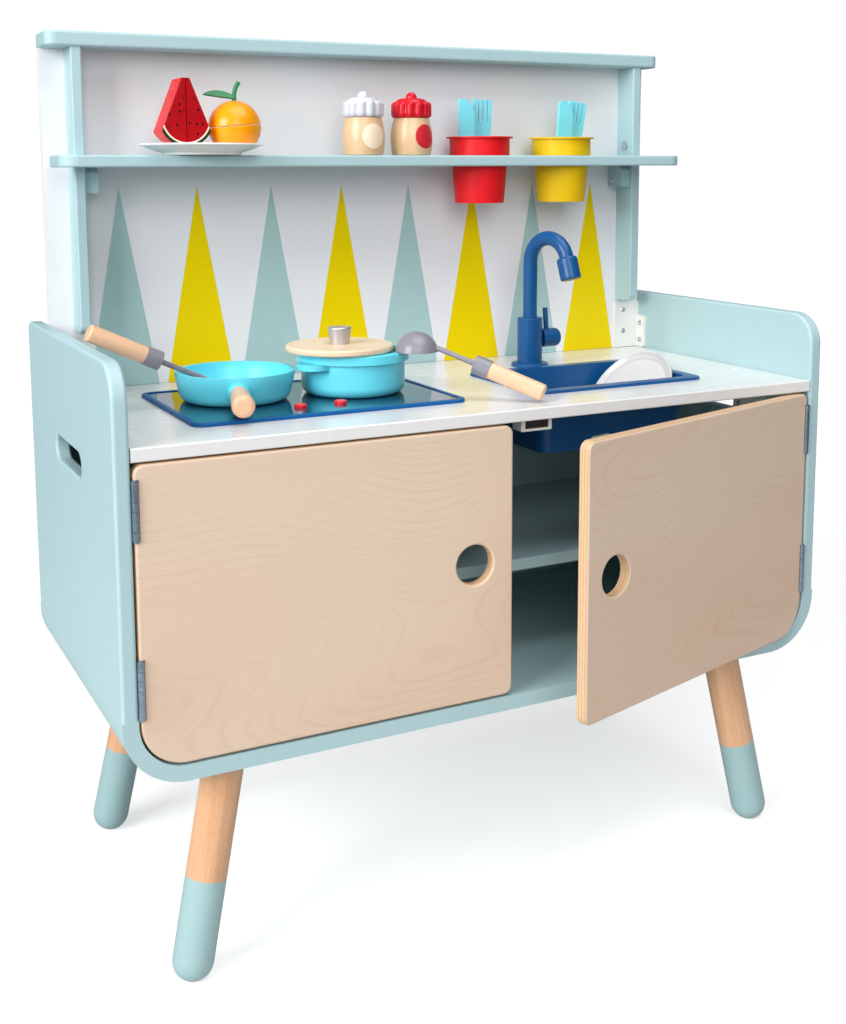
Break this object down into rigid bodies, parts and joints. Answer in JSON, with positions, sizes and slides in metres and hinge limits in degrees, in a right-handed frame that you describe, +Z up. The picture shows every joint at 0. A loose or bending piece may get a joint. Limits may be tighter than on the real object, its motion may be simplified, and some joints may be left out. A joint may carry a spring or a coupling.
{
  "type": "toy kitchen",
  "caption": "Wooden toy kitchen with a double-door cabinet, hob, sink, tap, backboard shelf, splayed legs and a loose play cooking set.",
  "frame": {"origin": "on the floor under the middle of the footprint, the right door standing open at its rest angle", "axes": "+Z up, +X to the right seen from the doors, +Y to the back; the doors face -Y"},
  "size_m": [0.75, 0.4426, 0.8408],
  "materials": {
    "teal_paint": "satin paint on board",
    "white_paint": "satin paint on board",
    "door_plywood": "lacquered birch plywood",
    "beech": "clear lacquered turned beech",
    "zinc_steel": "zinc plated",
    "blue_plastic": "moulded satin",
    "hob_glass": "polished",
    "turquoise_plastic": "moulded",
    "grey_plastic": "moulded",
    "white_plastic": "moulded",
    "black_magnet": "ferrite",
    "silver_paint": "silver lacquered wood",
    "lid_wood": "lacquered plywood",
    "plate_white": "white lacquered wood",
    "melon_red": "painted and printed wood",
    "orange_paint": "gloss painted wood",
    "leaf_green": "moulded",
    "shaker_wood": "lacquered wood",
    "cap_white": "gloss painted wood",
    "cap_red": "gloss painted wood",
    "button_red": "moulded",
    "cup_red": "moulded",
    "cup_yellow": "moulded"
  },
  "bodies": {
    "cabinet": {"angle_brackets": "white_plastic", "backboard": "white_paint", "bottom_panel": "teal_paint", "cabinet_back_panel": "teal_paint", "catch_housings": "white_plastic", "catch_magnets": "black_magnet", "corner_mouldings": "teal_paint", "fasteners": "zinc_steel", "hinge_frame_leaves": "zinc_steel", "hinge_pins": "zinc_steel", "hob_buttons": "button_red", "hob_glass": "hob_glass", "hob_tray": "blue_plastic", "inner_shelf": "teal_paint", "legs_front": "beech", "legs_rear": "beech", "shelf_cleats": "teal_paint", "shelf_pins": "zinc_steel", "shelf_posts": "teal_paint", "side_panel_left": "teal_paint", "side_panel_right": "teal_paint", "sink_basin": "blue_plastic", "tap_base": "blue_plastic", "top_board": "teal_paint", "upper_shelf": "teal_paint", "worktop": "white_paint"},
    "door_left": {"door_left": "door_plywood", "hinge_door_leaves_left": "zinc_steel", "strike_plate_left": "zinc_steel"},
    "door_right": {"door_right": "door_plywood", "hinge_door_leaves_right": "zinc_steel", "strike_plate_right": "zinc_steel"},
    "tap_spout": {"tap_spout": "blue_plastic"},
    "tap_handle": {"tap_handle": "blue_plastic"},
    "frying_pan": {"pan_body": "turquoise_plastic", "pan_handle": "beech"},
    "spatula": {"spatula_head": "grey_plastic", "spatula_handle": "beech"},
    "pot": {"pot_body": "turquoise_plastic"},
    "lid": {"pot_lid": "lid_wood", "lid_knob": "silver_paint"},
    "ladle": {"ladle_head": "grey_plastic", "ladle_handle": "beech"},
    "plate_in_sink": {"sink_plate": "plate_white"},
    "plate_on_shelf": {"shelf_plate": "plate_white"},
    "melon_half_left": {"melon_left": "melon_red"},
    "melon_half_right": {"melon_right": "melon_red"},
    "orange_base": {"orange_bottom": "orange_paint"},
    "orange_lid": {"orange_top": "orange_paint", "orange_stem": "leaf_green"},
    "salt_shaker": {"salt_body": "shaker_wood", "salt_cap": "cap_white"},
    "pepper_shaker": {"pepper_body": "shaker_wood", "pepper_cap": "cap_red"},
    "red_cup": {"cup_red": "cup_red"},
    "yellow_cup": {"cup_yellow": "cup_yellow"},
    "red_cup_knife": {"knife_red": "turquoise_plastic"},
    "red_cup_fork": {"fork_red": "turquoise_plastic"},
    "yellow_cup_knife": {"knife_yellow": "turquoise_plastic"},
    "yellow_cup_fork": {"fork_yellow": "turquoise_plastic"}
  },
  "joints": [
    {"name": "door_left_hinge", "type": "hinge", "parent": "cabinet", "child": "door_left", "pos_m": [-0.358, -0.12372, 0.345], "axis": [0, 0, -1], "range_deg": [0, 170]},
    {"name": "door_right_hinge", "type": "hinge", "parent": "cabinet", "child": "door_right", "pos_m": [0.358, -0.12372, 0.345], "axis": [0, 0, 1], "range_deg": [-16, 154]},
    {"name": "spout_swivel", "type": "hinge", "parent": "cabinet", "child": "tap_spout", "pos_m": [0.155, 0.10308, 0.541], "axis": [0, 0, 1], "range_deg": [-60, 60]},
    {"name": "tap_handle_turn", "type": "hinge", "parent": "cabinet", "child": "tap_handle", "pos_m": [0.175, 0.10308, 0.517], "axis": [1, 0, 0], "range_deg": [-45, 45]},
    {"name": "pan_lift", "type": "slide", "parent": "cabinet", "child": "frying_pan", "axis": [-0.5, 0, 0.866], "range_m": [0, 0.1]},
    {"name": "spatula_lift", "type": "slide", "parent": "frying_pan", "child": "spatula", "axis": [0, 0, 1], "range_m": [0, 0.06]},
    {"name": "pot_lift", "type": "slide", "parent": "cabinet", "child": "pot", "axis": [0, 0, 1], "range_m": [0, 0.08]},
    {"name": "lid_lift", "type": "slide", "parent": "pot", "child": "lid", "axis": [0, 0, 1], "range_m": [0, 0.06]},
    {"name": "ladle_lift", "type": "slide", "parent": "pot", "child": "ladle", "axis": [0, 0, 1], "range_m": [0, 0.06]},
    {"name": "sink_plate_lift", "type": "slide", "parent": "cabinet", "child": "plate_in_sink", "axis": [0, 0, 1], "range_m": [0, 0.06]},
    {"name": "shelf_plate_lift", "type": "slide", "parent": "cabinet", "child": "plate_on_shelf", "axis": [0, 0, 1], "range_m": [0, 0.05]},
    {"name": "melon_left_lift", "type": "slide", "parent": "plate_on_shelf", "child": "melon_half_left", "axis": [0, 0, 1], "range_m": [0, 0.05]},
    {"name": "melon_right_lift", "type": "slide", "parent": "plate_on_shelf", "child": "melon_half_right", "axis": [0, 0, 1], "range_m": [0, 0.02]},
    {"name": "orange_lift", "type": "slide", "parent": "plate_on_shelf", "child": "orange_base", "axis": [0, 0, 1], "range_m": [0, 0.05]},
    {"name": "orange_open", "type": "slide", "parent": "orange_base", "child": "orange_lid", "axis": [0, 0, 1], "range_m": [0, 0.04]},
    {"name": "salt_lift", "type": "slide", "parent": "cabinet", "child": "salt_shaker", "axis": [0, 0, 1], "range_m": [0, 0.09]},
    {"name": "pepper_lift", "type": "slide", "parent": "cabinet", "child": "pepper_shaker", "axis": [0, 0, 1], "range_m": [0, 0.09]},
    {"name": "red_cup_lift", "type": "slide", "parent": "cabinet", "child": "red_cup", "axis": [0, 0, 1], "range_m": [0, 0.062]},
    {"name": "yellow_cup_lift", "type": "slide", "parent": "cabinet", "child": "yellow_cup", "axis": [0, 0, 1], "range_m": [0, 0.062]},
    {"name": "red_knife_lift", "type": "slide", "parent": "red_cup", "child": "red_cup_knife", "axis": [0, 0, 1], "range_m": [0, 0.075]},
    {"name": "red_fork_lift", "type": "slide", "parent": "red_cup", "child": "red_cup_fork", "axis": [0, 0, 1], "range_m": [0, 0.075]},
    {"name": "yellow_knife_lift", "type": "slide", "parent": "yellow_cup", "child": "yellow_cup_knife", "axis": [0, 0, 1], "range_m": [0, 0.075]},
    {"name": "yellow_fork_lift", "type": "slide", "parent": "yellow_cup", "child": "yellow_cup_fork", "axis": [0, 0, 1], "range_m": [0, 0.075]}
  ]
}
